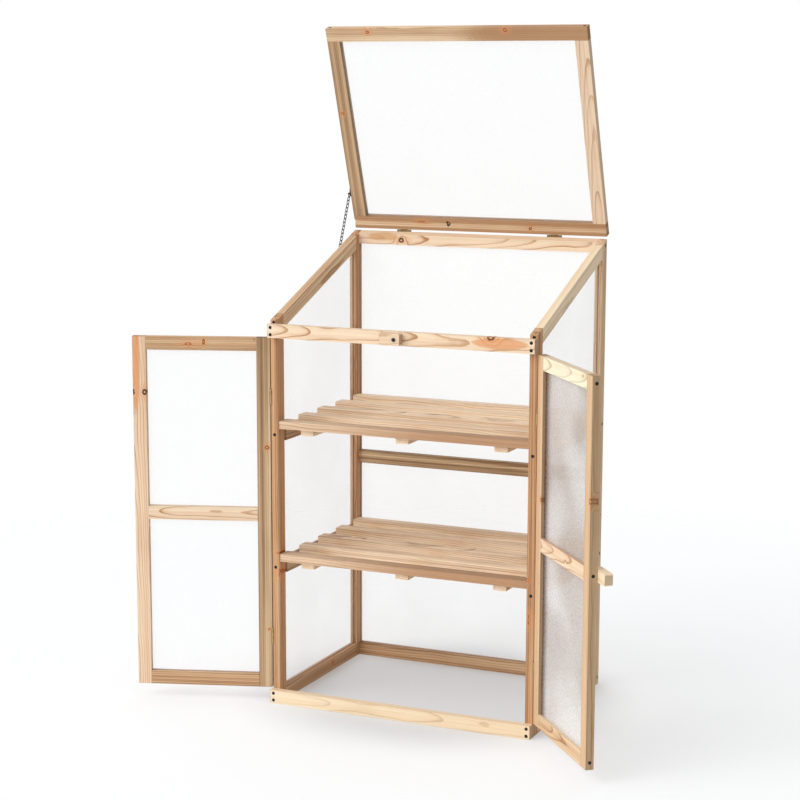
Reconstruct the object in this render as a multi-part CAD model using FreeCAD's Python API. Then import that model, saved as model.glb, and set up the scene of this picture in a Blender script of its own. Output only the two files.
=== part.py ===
import FreeCAD, Part
import os
from math import atan2, cos, degrees, hypot

# Wooden mini greenhouse: a post and rail frame with a sloping top, clear sheets,
# two slatted shelves, two hinged front doors and a hinged lid on a stay chain.
# Millimetres. X to the right, Y to the back, Z up. The origin is the middle of the
# underside of the front bottom rail. Doors and lid stand open, as they rest.

# Frame
WIDTH = 580.0
DEPTH = 410.0
FRONT_HEIGHT = 810.0
BACK_HEIGHT = 962.0
TIMBER_WIDE = 28.0
TIMBER_THIN = 16.0
BEARER_THICK = 20.0
FRONT_RAIL_DROP = 7.0

# Clear sheets and the grooves that hold them
SHEET_THICK = 3.2
SHEET_IN = 4.0
GROOVE_PLAY = 0.2
GROOVE_SPARE = 1.0

# Shelves
UPPER_SHELF_TOP = 600.5
LOWER_SHELF_TOP = 319.5
SLATS = 5
SLAT_WIDE = 32.0
SLAT_THICK = 16.0
SLAT_END_GAP = 0.5
SLAT_FRONT_GAP = 2.0
BATTENS = 3
BATTEN_WIDE = 28.0
BATTEN_THICK = 12.0
BATTEN_SPACING = 213.0
BATTEN_FRONT_GAP = 10.0
BATTEN_BACK_GAP = 4.0
BACK_MID_RAIL_CENTRE = 458.5

# Doors
LEFT_DOOR_OPEN = 161.0
RIGHT_DOOR_OPEN = 130.1
DOOR_FACE_GAP = 0.3
DOOR_FOOT_GAP = 1.5
DOOR_HEAD_GAP = 1.8
DOOR_MIDDLE_GAP = 5.0
DOOR_HINGE_HIGH = 122.0
DOOR_HINGE_LOW = 112.0

# Lid
LID_OPEN = 91.0
LID_SIDE_GAP = 1.0
LID_REACH = 458.0
LID_LIFT = 0.4
LID_HINGE_SPACING = 346.0
NOTCH_BACK = 9.0
NOTCH_GENTLE = 7.5
NOTCH_STEEP = 3.5
NOTCH_DEEP = 4.0

# Hinges
KNUCKLE_R = 2.5
PIN_R = 1.2
PIN_PLAY = 0.05
HINGE_LONG = 32.0
HINGE_END_KNUCKLE = 8.0
LEAF_THICK = 1.0
FRAME_LEAF_REACH = 20.0
MOVING_LEAF_REACH = 14.0
DOOR_PIVOT_OUT = 1.0
DOOR_EDGE_OUT = 1.2
LID_PIVOT_OUT = 2.8
LID_PIVOT_UP = 0.5
LID_EDGE_OUT = 3.3
KNUCKLE_CLEAR = 0.35
KNUCKLE_GAP = 0.15
LEAF_CUT_BACK = 3.0
LEAF_EDGE = 0.9

# Screws
HEAD_R = 3.5
HEAD_H = 2.4
SHANK_R = 1.75
CROSS_LONG = 4.0
CROSS_WIDE = 0.8
CROSS_DEEP = 1.0
BEARER_SCREW_RISE = 1.0
BACK_SCREW_SHIFT = 7.0
SLOPE_SCREW_DROP = 5.0
FRONT_SCREW_SPACING = 14.8
FRONT_SCREW_IN = 7.3
FRONT_SCREW_LONG = 36.0
LONG_SCREW = 50.0
SLOPE_SCREW_LONG = 42.0
SIDE_SCREW_LONG = 40.0
SMALL_HEAD_R = 2.2
SMALL_HEAD_H = 0.9
SMALL_SHANK_R = 1.1
SMALL_SCREW_LONG = 11.0
SMALL_SCREW_SPREAD = 18.0
SMALL_CROSS_LONG = 2.6
LEAF_SCREW_SHARE = 0.6

# Turn buttons
BUTTON_THICK = 16.0
BUTTON_GAP = 0.6
BUTTON_CORNER_R = 5.0
TOP_BUTTON_ARM = 32.0
TOP_BUTTON_END = 12.2
TOP_BUTTON_WIDE = 24.5
DOOR_BUTTON_ARM = 49.0
DOOR_BUTTON_END = 12.0
DOOR_BUTTON_WIDE = 24.0
BUTTON_SCREW_R = 2.0
BUTTON_HEAD_R = 3.8
BUTTON_HEAD_H = 1.8
BUTTON_HEAD_GAP = 0.3
TOP_BUTTON_BITE = 12.0
DOOR_BUTTON_BITE = 5.0

# Stay chain and its two plates
CHAIN_OUT = 5.8
LINKS = 16
LINK_WIRE_R = 0.8
LINK_WIDE = 7.0
LINK_GAP = 0.25
LINK_TURN = 45.0
CHAIN_TWIST = -25.0
CHAIN_LID_REACH = 80.0
CHAIN_FRAME_BACK = 70.0
CHAIN_PIN_R = 1.2
CHAIN_PIN_GAP = 0.3
CHAIN_PIN_HEAD_R = 2.4
CHAIN_PIN_HEAD_H = 1.0
LID_PLATE_LONG = 17.0
LID_PLATE_WIDE = 7.0
LID_PLATE_FOOT = 4.0
LID_PLATE_THICK = 4.6
LID_PLATE_THIN = 3.6
FRAME_PLATE_LONG = 15.0
FRAME_PLATE_WIDE = 7.0
FRAME_PLATE_THICK = 1.2
FRAME_BOSS_R = 2.6
FRAME_BOSS_H = 0.6

# Places that follow from the sizes
HALF = WIDTH / 2
POST_FRONT = TIMBER_THIN / 2
RAIL_FRONT = POST_FRONT - TIMBER_THIN
BACK = POST_FRONT + DEPTH
SIDE_FRONT = POST_FRONT + TIMBER_WIDE
SIDE_BACK = BACK - TIMBER_WIDE
BACK_RAIL_FRONT = BACK - TIMBER_THIN
INNER = HALF - TIMBER_THIN
SLOPE = atan2(BACK_HEIGHT - FRONT_HEIGHT, DEPTH)
SHEET_X = HALF - TIMBER_THIN / 2
SHEET_Y = BACK - TIMBER_THIN / 2
FRONT_TOP_Z = FRONT_HEIGHT - FRONT_RAIL_DROP - TIMBER_WIDE
UPPER_BEARER_TOP = UPPER_SHELF_TOP - SLAT_THICK
LOWER_BEARER_TOP = LOWER_SHELF_TOP - SLAT_THICK
MID_RAIL_FOOT = BACK_MID_RAIL_CENTRE - TIMBER_WIDE / 2
BACK_TOP_FOOT = BACK_HEIGHT - TIMBER_WIDE
SCREW_X = HALF - FRONT_SCREW_IN
HALF_TIMBER = TIMBER_WIDE / 2
TOP = BACK_HEIGHT + DEPTH

X_AXIS = FreeCAD.Vector(1, 0, 0)
Y_AXIS = FreeCAD.Vector(0, 1, 0)
Z_AXIS = FreeCAD.Vector(0, 0, 1)
ORIGIN = FreeCAD.Vector(0, 0, 0)

pieces = {}


def vec(x, y, z):
    return FreeCAD.Vector(x, y, z)


def slope_z(y):
    """Height of the sloping top plane at a place along the depth."""
    return FRONT_HEIGHT + (y - POST_FRONT) * (BACK_HEIGHT - FRONT_HEIGHT) / DEPTH


def slope_rail_foot(y):
    """Height of the underside of the sloping side rails."""
    return slope_z(y) - TIMBER_WIDE / cos(SLOPE)


def block(x, y, z):
    """A box between pairs of limits."""
    return Part.makeBox(x[1] - x[0], y[1] - y[0], z[1] - z[0], vec(x[0], y[0], z[0]))


def prism_x(outline, x):
    """A prism along X from an outline of (y, z) corners."""
    corners = [vec(x[0], y, z) for y, z in outline]
    face = Part.Face(Part.makePolygon(corners + corners[:1]))
    return face.extrude(vec(x[1] - x[0], 0, 0))


def mirrored(shape):
    return shape.mirror(ORIGIN, X_AXIS)


def turned(shape, centre, axis, angle):
    copy = shape.copy()
    copy.rotate(centre, axis, angle)
    return copy


def moved(shape, offset):
    copy = shape.copy()
    copy.translate(offset)
    return copy


def group(shapes):
    return shapes[0] if len(shapes) == 1 else Part.makeCompound(shapes)


def cut_by(shape, tools):
    """Cut a piece by every tool that reaches its bounding box."""
    near = [tool for tool in tools if tool.BoundBox.intersect(shape.BoundBox)]
    return shape.cut(near) if near else shape


# Screws


def screw_blank(length, head_r=HEAD_R, head_h=HEAD_H, shank_r=SHANK_R):
    """A flush screw without its cross, head at the origin, running along +Z."""
    head = Part.makeCone(head_r, shank_r, head_h)
    shank = Part.makeCylinder(shank_r, length - head_h, vec(0, 0, head_h))
    return head.fuse(shank).removeSplitter()


def crossed(screw, long=CROSS_LONG, wide=CROSS_WIDE, deep=CROSS_DEEP):
    """The screw with a cross recess in its head."""
    first = block((-long / 2, long / 2), (-wide / 2, wide / 2), (0, deep))
    second = block((-wide / 2, wide / 2), (-long / 2, long / 2), (0, deep))
    return screw.cut(first.fuse(second))


def placed(shape, at, towards):
    """Move a shape so that its origin is at a point and its +Z points a given way."""
    copy = shape.copy()
    copy.Placement = FreeCAD.Placement(at, FreeCAD.Rotation(Z_AXIS, towards))
    return copy


class ScrewSet:
    """The screws of one moving group: the holes they need and the screws themselves."""

    def __init__(self):
        self.holes = []
        self.screws = []

    def add(self, at, towards, length):
        blank = screw_blank(length)
        self.holes.append(placed(blank, at, towards))
        self.screws.append(placed(crossed(blank), at, towards))

    def add_pair(self, at, towards, length):
        """A screw and its twin on the other side of the middle."""
        self.add(at, towards, length)
        self.add(vec(-at.x, at.y, at.z), vec(-towards.x, towards.y, towards.z), length)


# Hinges: pin along Z, timber on the -X side, frame leaf towards +Y, moving leaf towards -Y


def knuckle(low, high, bore_r):
    tube = Part.makeCylinder(KNUCKLE_R, high - low, vec(0, 0, low))
    return tube.cut(Part.makeCylinder(bore_r, high - low, vec(0, 0, low)))


def leaf_screws(seat, reach):
    """Two small screws down the middle of a leaf that reaches towards +Y."""
    blank = screw_blank(SMALL_SCREW_LONG, SMALL_HEAD_R, SMALL_HEAD_H, SMALL_SHANK_R)
    heights = (-SMALL_SCREW_SPREAD / 2, SMALL_SCREW_SPREAD / 2)
    spots = [vec(LEAF_THICK - seat, reach * LEAF_SCREW_SHARE, z) for z in heights]
    holes = [placed(blank, spot, -X_AXIS) for spot in spots]
    slots = crossed(blank, SMALL_CROSS_LONG, CROSS_WIDE / 2, SMALL_HEAD_H / 2)
    return holes, [placed(slots, spot, -X_AXIS) for spot in spots]


def leaf(seat, reach, own, other, bore_r):
    """A hinge leaf towards +Y with its knuckles, cut back where the other leaf's knuckles turn."""
    half = HINGE_LONG / 2
    plate = block((-seat, LEAF_THICK - seat), (LEAF_EDGE, reach), (-half, half))
    for low, high in other:
        plate = plate.cut(block((-seat, LEAF_THICK - seat), (0, LEAF_CUT_BACK), (low, high)))
    hole = Part.makeCylinder(bore_r, HINGE_LONG, vec(0, 0, -half))
    for low, high in own:
        web = block((-seat, 0), (0, LEAF_EDGE), (low, high))
        rib = block((-seat, LEAF_THICK - seat), (0, LEAF_CUT_BACK), (low, high))
        plate = plate.fuse([web, rib, knuckle(low, high, bore_r)])
    holes, screws = leaf_screws(seat, reach)
    return plate.cut([hole] + holes).removeSplitter(), holes, screws


def hinge(frame_seat, moving_seat):
    """Frame leaf, moving leaf and pin, each leaf with its screw holes and screws."""
    half = HINGE_LONG / 2
    ends = [(-half, HINGE_END_KNUCKLE - half), (half - HINGE_END_KNUCKLE, half)]
    middle_half = half - HINGE_END_KNUCKLE
    middle = [(-middle_half + KNUCKLE_GAP, middle_half - KNUCKLE_GAP)]
    fixed = leaf(frame_seat, FRAME_LEAF_REACH, ends, [(-middle_half, middle_half)], PIN_R)
    wide_ends = [(-half, KNUCKLE_GAP - middle_half), (middle_half - KNUCKLE_GAP, half)]
    plate, holes, screws = leaf(moving_seat, MOVING_LEAF_REACH, middle, wide_ends, PIN_R + PIN_PLAY)
    flip = lambda shapes: [turned(mirrored(shape), ORIGIN, Z_AXIS, 180) for shape in shapes]
    moving = (flip([plate])[0], flip(holes), flip(screws))
    pin = Part.makeCylinder(PIN_R, HINGE_LONG, vec(0, 0, -half))
    return fixed, moving, pin


def each(shapes, change):
    return [change(shape) for shape in shapes]


# Frame screws
frame = ScrewSet()
for centre in (HALF_TIMBER, FRONT_TOP_Z + HALF_TIMBER):
    for side in (-1, 1):
        z = centre + side * FRONT_SCREW_SPACING / 2
        frame.add_pair(vec(SCREW_X, RAIL_FRONT, z), Y_AXIS, FRONT_SCREW_LONG)
for top in (UPPER_BEARER_TOP, LOWER_BEARER_TOP):
    frame.add_pair(vec(SCREW_X, POST_FRONT, top - HALF_TIMBER + BEARER_SCREW_RISE), Y_AXIS, LONG_SCREW)
    frame.add_pair(vec(SCREW_X, BACK, top - HALF_TIMBER + BACK_SCREW_SHIFT), -Y_AXIS, LONG_SCREW)
frame.add_pair(vec(SCREW_X, POST_FRONT, FRONT_HEIGHT - SLOPE_SCREW_DROP), Y_AXIS, SLOPE_SCREW_LONG)
slope_centre_back = slope_z(SIDE_BACK) - HALF_TIMBER / cos(SLOPE)
frame.add_pair(vec(SCREW_X, BACK, slope_centre_back - BACK_SCREW_SHIFT), -Y_AXIS, SLOPE_SCREW_LONG)
frame.add_pair(vec(SCREW_X, BACK, HALF_TIMBER - BACK_SCREW_SHIFT), -Y_AXIS, LONG_SCREW)
back_rail_feet = [0.0, LOWER_BEARER_TOP - TIMBER_WIDE, UPPER_BEARER_TOP - TIMBER_WIDE, BACK_TOP_FOOT]
for foot in back_rail_feet:
    at = vec(HALF, SHEET_Y, foot + HALF_TIMBER + BEARER_SCREW_RISE)
    frame.add_pair(at, -X_AXIS, SIDE_SCREW_LONG)

# Clear sheets of the right side and the back, and the grooves they sit in


def side_sheet(low, high, play, reach):
    """A side sheet; with no upper limit it follows the sloping rail."""
    x = (SHEET_X - SHEET_THICK / 2 - play, SHEET_X + SHEET_THICK / 2 + play)
    y = (SIDE_FRONT - reach, SIDE_BACK + reach)
    if high is not None:
        return block(x, y, (low - reach, high + reach))
    rise = reach / cos(SLOPE)
    tops = [(y[1], slope_rail_foot(y[1]) + rise), (y[0], slope_rail_foot(y[0]) + rise)]
    return prism_x([(y[0], low - reach), (y[1], low - reach)] + tops, x)


def back_sheet(low, high, play, reach):
    y = (SHEET_Y - SHEET_THICK / 2 - play, SHEET_Y + SHEET_THICK / 2 + play)
    return block((-INNER - reach, INNER + reach), y, (low - reach, high + reach))


side_openings = [
    (TIMBER_WIDE, LOWER_BEARER_TOP - TIMBER_WIDE),
    (LOWER_BEARER_TOP, UPPER_BEARER_TOP - TIMBER_WIDE),
    (UPPER_BEARER_TOP, None),
]
back_openings = [
    (TIMBER_WIDE, LOWER_BEARER_TOP - TIMBER_WIDE),
    (LOWER_BEARER_TOP, MID_RAIL_FOOT),
    (MID_RAIL_FOOT + TIMBER_WIDE, UPPER_BEARER_TOP - TIMBER_WIDE),
    (UPPER_BEARER_TOP, BACK_TOP_FOOT),
]
GROOVE_IN = SHEET_IN + GROOVE_SPARE
side_sheets = [side_sheet(low, high, 0, SHEET_IN) for low, high in side_openings]
side_grooves = [side_sheet(low, high, GROOVE_PLAY, GROOVE_IN) for low, high in side_openings]
back_sheets = [back_sheet(low, high, 0, SHEET_IN) for low, high in back_openings]
back_grooves = [back_sheet(low, high, GROOVE_PLAY, GROOVE_IN) for low, high in back_openings]
pieces["right_side_sheets"] = group(side_sheets)
pieces["left_side_sheets"] = group(each(side_sheets, mirrored))
pieces["back_sheets"] = group(back_sheets)

# Everything above the sloping top plane
above = prism_x(
    [(-DEPTH, slope_z(-DEPTH)), (BACK + DEPTH, slope_z(BACK + DEPTH)), (BACK + DEPTH, TOP), (-DEPTH, TOP)],
    (-WIDTH, WIDTH),
)

# Posts and side rails: the right one, and its twin on the left


def add_side(name, shape):
    """A timber of the right side and its mirrored twin, grooved and drilled."""
    right = cut_by(shape, side_grooves + back_grooves + frame.holes)
    pieces["right_" + name] = right
    pieces["left_" + name] = cut_by(
        mirrored(shape), each(side_grooves, mirrored) + back_grooves + frame.holes
    )


thin_x = (INNER, HALF)
bearer_x = (HALF - BEARER_THICK, HALF)
side_y = (SIDE_FRONT, SIDE_BACK)
front_post = block(thin_x, (POST_FRONT, SIDE_FRONT), (0, BACK_HEIGHT)).cut(above)
back_post = block(thin_x, (SIDE_BACK, BACK), (0, BACK_HEIGHT)).cut(above)
add_side("front_post", front_post)
add_side("back_post", back_post)
add_side("bottom_rail", block(thin_x, side_y, (0, TIMBER_WIDE)))
for name, top in (("lower_bearer", LOWER_BEARER_TOP), ("upper_bearer", UPPER_BEARER_TOP)):
    add_side(name, block(bearer_x, side_y, (top - TIMBER_WIDE, top)))
slope_outline = [
    (SIDE_FRONT, slope_rail_foot(SIDE_FRONT)),
    (SIDE_BACK, slope_rail_foot(SIDE_BACK)),
    (SIDE_BACK, slope_z(SIDE_BACK)),
    (SIDE_FRONT, slope_z(SIDE_FRONT)),
]
add_side("slope_rail", prism_x(slope_outline, thin_x))

# Top turn button on the front top rail


def turn_button(arm, end, wide, bore_r):
    """A block with rounded corners, its long arm along -X of the pivot, rising along +Z."""
    bar = block((-arm, end), (-wide / 2, wide / 2), (0, BUTTON_THICK))
    upright = [edge for edge in bar.Edges if edge.BoundBox.ZLength > BUTTON_THICK / 2]
    bar = bar.makeFillet(BUTTON_CORNER_R, upright)
    return bar.cut(Part.makeCylinder(bore_r, BUTTON_THICK))


def button_screw(bite):
    """The pivot screw of a turn button, rising along +Z from its point in the timber."""
    neck = bite + BUTTON_GAP + BUTTON_THICK + BUTTON_HEAD_GAP
    shank = Part.makeCylinder(BUTTON_SCREW_R, neck, vec(0, 0, -bite))
    head = Part.makeCylinder(BUTTON_HEAD_R, BUTTON_HEAD_H, vec(0, 0, neck - bite))
    return shank.fuse(head).removeSplitter()


def facing_front(shape, x, y, z):
    """Turn a shape that rises along +Z so that it stands out to the front at a point."""
    return moved(turned(shape, ORIGIN, X_AXIS, 90), vec(x, y, z))


button_bore = BUTTON_SCREW_R + PIN_PLAY
top_button_z = FRONT_TOP_Z + HALF_TIMBER
top_button = turn_button(TOP_BUTTON_ARM, TOP_BUTTON_END, TOP_BUTTON_WIDE, button_bore)
top_button_y = RAIL_FRONT - DOOR_FACE_GAP - BUTTON_GAP
pieces["top_turn_button"] = facing_front(top_button, 0, top_button_y, top_button_z)
top_button_screw = facing_front(button_screw(TOP_BUTTON_BITE), 0, top_button_y + BUTTON_GAP, top_button_z)
frame.screws.append(top_button_screw)

# Front rails
front_y = (RAIL_FRONT, POST_FRONT)
front_holes = frame.holes + [top_button_screw]
for name, foot in (("front_bottom_rail", 0.0), ("front_top_rail", FRONT_TOP_Z)):
    rail = block((-HALF, HALF), front_y, (foot, foot + TIMBER_WIDE))
    pieces[name] = cut_by(rail, front_holes)

# Back rails
back_y = (BACK_RAIL_FRONT, BACK)


def back_rail(foot):
    rail = block((-INNER, INNER), back_y, (foot, foot + TIMBER_WIDE)).cut(above)
    return cut_by(rail, back_grooves + frame.holes)


pieces["back_bottom_rail"] = back_rail(0.0)
pieces["back_shelf_rails"] = group([back_rail(foot) for foot in back_rail_feet[1:3]])
pieces["back_mid_rail"] = back_rail(MID_RAIL_FOOT)
pieces["back_top_rail"] = back_rail(BACK_TOP_FOOT)

# Shelves
SLAT_HALF = INNER - SLAT_END_GAP
SLAT_FIRST = POST_FRONT + SLAT_FRONT_GAP
SLAT_PITCH = (BACK_RAIL_FRONT - SLAT_FIRST - SLAT_WIDE) / (SLATS - 1)


def add_shelf(name, top):
    slats = []
    for number in range(SLATS):
        front = SLAT_FIRST + number * SLAT_PITCH
        slats.append(block((-SLAT_HALF, SLAT_HALF), (front, front + SLAT_WIDE), (top - SLAT_THICK, top)))
    pieces[name + "_shelf_slats"] = group(slats)
    foot = top - SLAT_THICK - BATTEN_THICK
    battens = []
    for number in range(BATTENS):
        centre = (number - (BATTENS - 1) / 2) * BATTEN_SPACING
        x = (centre - BATTEN_WIDE / 2, centre + BATTEN_WIDE / 2)
        y = (POST_FRONT + BATTEN_FRONT_GAP, BACK_RAIL_FRONT - BATTEN_BACK_GAP)
        battens.append(block(x, y, (foot, foot + BATTEN_THICK)))
    pieces[name + "_shelf_battens"] = group(battens)


add_shelf("upper", UPPER_SHELF_TOP)
add_shelf("lower", LOWER_SHELF_TOP)

# Doors, closed: built on the right, mirrored for the left, then swung open
PIVOT_X = HALF + DOOR_PIVOT_OUT
PIVOT_Y = POST_FRONT - DOOR_FACE_GAP / 2
DOOR_EDGE = PIVOT_X - DOOR_EDGE_OUT
DOOR_INNER_Y = POST_FRONT - DOOR_FACE_GAP
DOOR_OUTER_Y = DOOR_INNER_Y - TIMBER_THIN
DOOR_MID_Y = (DOOR_INNER_Y + DOOR_OUTER_Y) / 2
DOOR_FOOT = TIMBER_WIDE + DOOR_FOOT_GAP
DOOR_HEAD = FRONT_TOP_Z - DOOR_HEAD_GAP
DOOR_MIDDLE = (DOOR_FOOT + DOOR_HEAD) / 2
DOOR_FREE = DOOR_MIDDLE_GAP / 2
DOOR_BUTTON_X = DOOR_FREE + HALF_TIMBER
door_y = (DOOR_OUTER_Y, DOOR_INNER_Y)
stile_inner = (DOOR_FREE + TIMBER_WIDE, DOOR_EDGE - TIMBER_WIDE)

door_rails = [
    ("bottom_rail", DOOR_FOOT),
    ("mid_rail", DOOR_MIDDLE - HALF_TIMBER),
    ("top_rail", DOOR_HEAD - TIMBER_WIDE),
]


def door_sheet(low, high, play, reach):
    y = (DOOR_MID_Y - SHEET_THICK / 2 - play, DOOR_MID_Y + SHEET_THICK / 2 + play)
    return block((stile_inner[0] - reach, stile_inner[1] + reach), y, (low - reach, high + reach))


def door_shapes(with_button):
    """All pieces of the right door, closed, with the frame leaves and pins of its hinges."""
    parts = {}
    screws = ScrewSet()
    for name, foot in door_rails:
        z = foot + HALF_TIMBER
        screws.add(vec(DOOR_FREE, DOOR_MID_Y, z), X_AXIS, LONG_SCREW)
        screws.add(vec(DOOR_EDGE, DOOR_MID_Y, z), -X_AXIS, LONG_SCREW)
    holes = list(screws.holes)
    if with_button:
        pivot = button_screw(DOOR_BUTTON_BITE)
        pivot = facing_front(pivot, DOOR_BUTTON_X, DOOR_OUTER_Y, DOOR_MIDDLE)
        button = turn_button(DOOR_BUTTON_ARM, DOOR_BUTTON_END, DOOR_BUTTON_WIDE, button_bore)
        parts["turn_button"] = facing_front(button, DOOR_BUTTON_X, DOOR_OUTER_Y - BUTTON_GAP, DOOR_MIDDLE)
        screws.screws.append(pivot)
        holes.append(pivot)
    leaves = []
    frame_leaves = []
    pins = []
    frame_holes = []
    fixed, moving, pin = hinge(DOOR_PIVOT_OUT, DOOR_EDGE_OUT)
    pocket_long = HINGE_LONG + 2 * KNUCKLE_CLEAR
    pocket = Part.makeCylinder(KNUCKLE_R + KNUCKLE_CLEAR, pocket_long, vec(0, 0, -pocket_long / 2))
    for z in (DOOR_HEAD - DOOR_HINGE_HIGH, DOOR_FOOT + DOOR_HINGE_LOW):
        shift = lambda shape: moved(shape, vec(PIVOT_X, PIVOT_Y, z))
        leaves += each([moving[0]] + moving[2], shift)
        holes += each(moving[1] + [pocket], shift)
        frame_leaves += each([fixed[0]] + fixed[2], shift)
        frame_holes += each(fixed[1] + [pocket], shift)
        pins.append(shift(pin))
    openings = [(DOOR_FOOT + TIMBER_WIDE, DOOR_MIDDLE - HALF_TIMBER)]
    openings.append((DOOR_MIDDLE + HALF_TIMBER, DOOR_HEAD - TIMBER_WIDE))
    grooves = [door_sheet(low, high, GROOVE_PLAY, GROOVE_IN) for low, high in openings]
    for name, limits in zip(("lower_sheet", "upper_sheet"), openings):
        parts[name] = door_sheet(limits[0], limits[1], 0, SHEET_IN)
    for name, foot in door_rails:
        rail = block(stile_inner, door_y, (foot, foot + TIMBER_WIDE))
        parts[name] = cut_by(rail, grooves + holes)
    tall = (DOOR_FOOT, DOOR_HEAD)
    parts["free_stile"] = cut_by(block((DOOR_FREE, stile_inner[0]), door_y, tall), grooves + holes)
    parts["hinge_stile"] = cut_by(block((stile_inner[1], DOOR_EDGE), door_y, tall), grooves + holes)
    parts["hinge_leaves"] = group(leaves)
    parts["screws"] = group(screws.screws)
    return parts, frame_leaves, frame_holes, pins


right_parts, right_leaves, right_holes, right_pins = door_shapes(True)
left_parts = door_shapes(False)[0]
for name, shape in right_parts.items():
    pieces["right_door_" + name] = turned(shape, vec(PIVOT_X, PIVOT_Y, 0), Z_AXIS, RIGHT_DOOR_OPEN)
for name, shape in left_parts.items():
    left = mirrored(shape)
    pieces["left_door_" + name] = turned(left, vec(-PIVOT_X, PIVOT_Y, 0), Z_AXIS, -LEFT_DOOR_OPEN)
pieces["post_hinge_leaves"] = group(right_leaves + each(right_leaves, mirrored))
pieces["right_front_post"] = cut_by(pieces["right_front_post"], right_holes)
pieces["left_front_post"] = cut_by(pieces["left_front_post"], each(right_holes, mirrored))
pins = right_pins + each(right_pins, mirrored)

# Lid, lying flat with its pivot at the origin and its front towards -Y
LID_PIVOT_Y = BACK + LID_PIVOT_OUT
LID_PIVOT_Z = slope_z(LID_PIVOT_Y) + LID_PIVOT_UP / cos(SLOPE)
LID_HALF = HALF - LID_SIDE_GAP
LID_FOOT = LID_LIFT - LID_PIVOT_UP
LID_MID = LID_FOOT + TIMBER_THIN / 2
lid_z = (LID_FOOT, LID_FOOT + TIMBER_THIN)
lid_back = -LID_EDGE_OUT
lid_front = -LID_REACH
LID_SCREW_X = LID_HALF - FRONT_SCREW_IN
lid_turn = degrees(SLOPE) - LID_OPEN


def lid_open(shape):
    """Carry a shape from the flat lid to the open lid on the frame."""
    return moved(turned(shape, ORIGIN, X_AXIS, lid_turn), vec(0, LID_PIVOT_Y, LID_PIVOT_Z))


def lid_hinge_turn(shape):
    """Lay a hinge along X, its frame leaf hanging down and its moving leaf standing up."""
    return turned(turned(shape, ORIGIN, Z_AXIS, 90), ORIGIN, Y_AXIS, -90)


lid_screws = ScrewSet()
lid_screws.add_pair(vec(LID_SCREW_X, lid_front, LID_MID), Y_AXIS, LONG_SCREW)
lid_screws.add_pair(vec(LID_SCREW_X, lid_back, LID_MID), -Y_AXIS, LONG_SCREW)
lid_holes = list(lid_screws.holes)
fixed, moving, pin = hinge(LID_PIVOT_OUT, LID_EDGE_OUT)
lid_leaves = []
rail_leaves = []
rail_holes = []
for side in (-1, 1):
    along = vec(side * LID_HINGE_SPACING / 2, 0, 0)
    on_lid = lambda shape: moved(lid_hinge_turn(shape), along)
    on_frame = lambda shape: moved(on_lid(shape), vec(0, LID_PIVOT_Y, LID_PIVOT_Z))
    lid_leaves += each([moving[0]] + moving[2], on_lid)
    lid_holes += each(moving[1], on_lid)
    rail_leaves += each([fixed[0]] + fixed[2], on_frame)
    rail_holes += each(fixed[1], on_frame)
    pins.append(on_frame(pin))

lid_inner_x = (-LID_HALF + TIMBER_WIDE, LID_HALF - TIMBER_WIDE)
lid_inner_y = (lid_front + TIMBER_WIDE, lid_back - TIMBER_WIDE)


def lid_sheet(play, reach):
    z = (LID_MID - SHEET_THICK / 2 - play, LID_MID + SHEET_THICK / 2 + play)
    x = (lid_inner_x[0] - reach, lid_inner_x[1] + reach)
    return block(x, (lid_inner_y[0] - reach, lid_inner_y[1] + reach), z)


# The back rail of the lid has a lopsided V notch along its underside
notch_back = lid_back - NOTCH_BACK
notch_deepest = notch_back - NOTCH_GENTLE
notch_front = notch_deepest - NOTCH_STEEP
notch_outline = [
    (notch_front, LID_FOOT),
    (notch_deepest, LID_FOOT + NOTCH_DEEP),
    (notch_back, LID_FOOT),
]
notch = prism_x(notch_outline, (-LID_HALF, LID_HALF))
lid_tools = [lid_sheet(GROOVE_PLAY, GROOVE_IN)] + lid_holes
lid_full = (-LID_HALF, LID_HALF)
lid_parts = {
    "front_rail": block(lid_full, (lid_front, lid_inner_y[0]), lid_z),
    "back_rail": block(lid_full, (lid_inner_y[1], lid_back), lid_z).cut(notch),
    "right_stile": block((lid_inner_x[1], LID_HALF), lid_inner_y, lid_z),
    "left_stile": block((-LID_HALF, lid_inner_x[0]), lid_inner_y, lid_z),
}
lid_parts = {name: cut_by(shape, lid_tools) for name, shape in lid_parts.items()}
lid_parts["sheet"] = lid_sheet(0, SHEET_IN)
lid_parts["hinge_leaves"] = group(lid_leaves)
lid_parts["screws"] = group(lid_screws.screws)
for name, shape in lid_parts.items():
    pieces["lid_" + name] = lid_open(shape)
pieces["rail_hinge_leaves"] = group(rail_leaves)
pieces["back_top_rail"] = cut_by(pieces["back_top_rail"], rail_holes)
pieces["hinge_pins"] = group(pins)
pieces["frame_screws"] = group(frame.screws)

# Stay chain: hooked on a pin on the lid's left stile, running down to the left sloping rail
CHAIN_X = -HALF - CHAIN_OUT
pin_y = -CHAIN_LID_REACH
plate_outline = [
    (-LID_HALF, pin_y + LID_PLATE_FOOT),
    (-LID_HALF - LID_PLATE_THICK, pin_y + LID_PLATE_FOOT),
    (-LID_HALF - LID_PLATE_THICK, pin_y - LID_PLATE_FOOT),
    (-LID_HALF - LID_PLATE_THIN, pin_y + LID_PLATE_FOOT - LID_PLATE_LONG),
    (-LID_HALF, pin_y + LID_PLATE_FOOT - LID_PLATE_LONG),
]
corners = [vec(x, y, LID_MID - LID_PLATE_WIDE / 2) for x, y in plate_outline]
plate = Part.Face(Part.makePolygon(corners + corners[:1])).extrude(vec(0, 0, LID_PLATE_WIDE))
pin_root = -LID_HALF - LID_PLATE_THICK
pin_long = pin_root - CHAIN_X + LINK_WIRE_R * 2 + CHAIN_PIN_GAP
chain_pin = Part.makeCylinder(CHAIN_PIN_R, pin_long, vec(pin_root, pin_y, LID_MID), -X_AXIS)
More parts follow.
